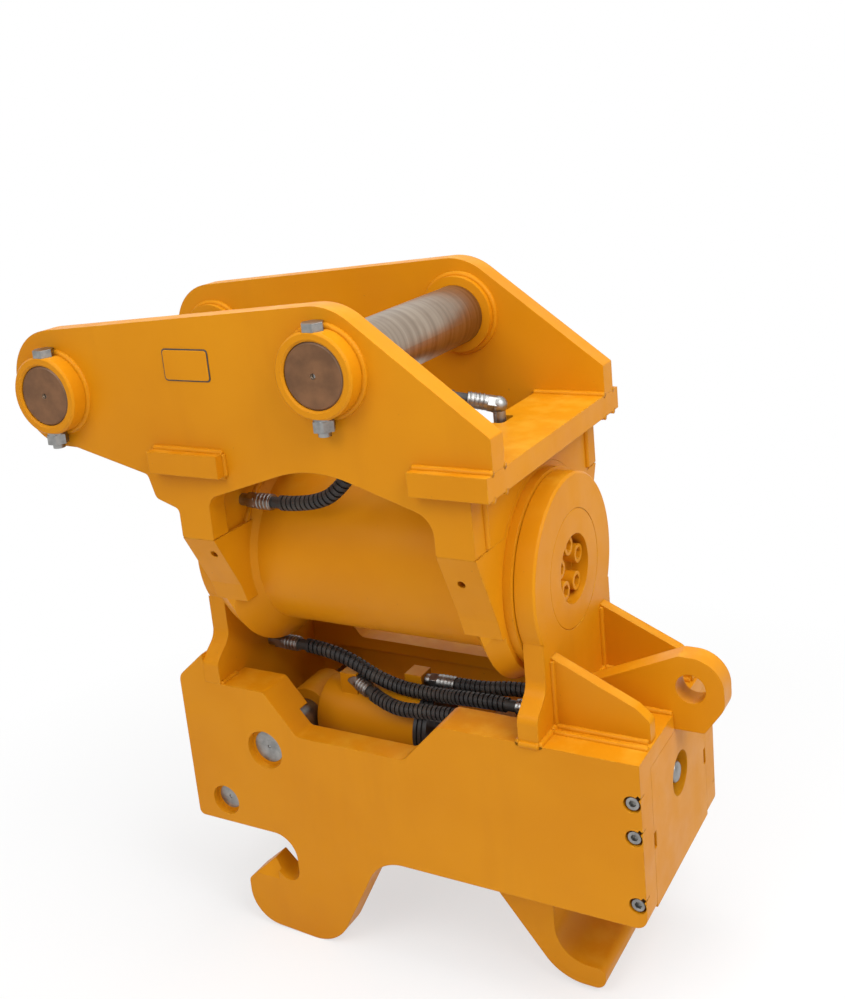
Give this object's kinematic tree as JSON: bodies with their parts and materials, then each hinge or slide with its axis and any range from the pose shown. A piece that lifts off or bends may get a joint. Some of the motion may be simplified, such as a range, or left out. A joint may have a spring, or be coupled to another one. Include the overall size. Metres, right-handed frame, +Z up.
{
  "type": "tilting quick coupler",
  "caption": "Tilting quick coupler for an excavator: pin-on ears over a helical rotary actuator, carrying a cradle with fixed front hooks and a sliding rear claw.",
  "frame": {"origin": "centre of the stick pin, on the plane of symmetry", "axes": "+X along the tilt axis from the stick pin towards the lifting eye, +Y along the stick pin towards the far ear plate, +Z up, away from the hooks"},
  "size_m": [0.8925, 0.414, 0.8972],
  "materials": {
    "yellow_paint": "satin",
    "pin_steel": "satin",
    "zinc_steel": "satin",
    "gear_steel": "satin",
    "chrome_steel": "polished",
    "dark_gland": "satin",
    "bronze": "satin",
    "seal_rubber": "matte",
    "hose_rubber": "matte"
  },
  "bodies": {
    "upper_frame": {"ear_plate_near": "yellow_paint", "ear_plate_far": "yellow_paint", "stick_pin_bosses": "yellow_paint", "link_pin_bosses": "yellow_paint", "stick_pin": "pin_steel", "link_pin": "pin_steel", "cross_bolts": "zinc_steel", "cross_bolt_nuts": "zinc_steel", "front_base_plate": "yellow_paint", "rear_base_plate": "yellow_paint", "front_saddle_plate": "yellow_paint", "rear_saddle_plate": "yellow_paint", "actuator_housing": "yellow_paint", "ring_gear": "gear_steel", "front_end_ring": "yellow_paint", "rear_end_ring": "yellow_paint", "shaft_bushes": "bronze", "load_holding_valve": "zinc_steel", "upper_hose": "hose_rubber", "upper_fittings": "zinc_steel"},
    "piston_carrier": {"piston_seals": "seal_rubber"},
    "piston": {"piston_sleeve": "gear_steel"},
    "lower_frame": {"tilt_shaft": "gear_steel", "front_flange_disc": "yellow_paint", "rear_flange_disc": "yellow_paint", "front_disc_bolts": "yellow_paint", "rear_disc_bolts": "yellow_paint", "front_upright": "yellow_paint", "rear_upright": "yellow_paint", "side_plate_near": "yellow_paint", "side_plate_far": "yellow_paint", "deck_plate": "yellow_paint", "gusset_near": "yellow_paint", "gusset_far": "yellow_paint", "lifting_eye": "yellow_paint", "end_cover": "yellow_paint", "cover_screws": "zinc_steel", "front_cross_plate": "yellow_paint", "claw_guides": "yellow_paint", "lock_cylinder": "yellow_paint", "cylinder_gland": "dark_gland", "anchor_pin": "pin_steel", "latch_pin": "pin_steel", "lower_fittings": "zinc_steel", "latch_hose": "hose_rubber", "bore_hose": "hose_rubber", "rod_hose": "hose_rubber"},
    "claw": {"rear_claw": "yellow_paint", "piston_rod": "chrome_steel", "rod_nut": "zinc_steel"},
    "latch": {"front_latch": "yellow_paint"}
  },
  "joints": [
    {"name": "tilt", "type": "hinge", "parent": "upper_frame", "child": "lower_frame", "pos_m": [0.3875, 0, -0.247], "axis": [1, 0, 0], "range_deg": [-60, 60]},
    {"name": "piston_travel", "type": "slide", "parent": "upper_frame", "child": "piston_carrier", "axis": [1, 0, 0], "range_m": [-0.0481, 0.0481]},
    {"name": "piston_turn", "type": "hinge", "parent": "piston_carrier", "child": "piston", "pos_m": [0.4, 0, -0.247], "axis": [1, 0, 0], "range_deg": [-30.1, 30.1]},
    {"name": "claw_slide", "type": "slide", "parent": "lower_frame", "child": "claw", "axis": [1, 0, 0], "range_m": [-0.078, 0.012]},
    {"name": "latch_swing", "type": "hinge", "parent": "lower_frame", "child": "latch", "pos_m": [0.1455, 0, -0.596], "axis": [0, 1, 0], "range_deg": [0, 38]}
  ],
  "couplings": [
    {"joint": "piston_travel", "follows": "tilt", "m_per_rad": 0.045837},
    {"joint": "piston_turn", "follows": "tilt", "ratio": 0.5}
  ]
}
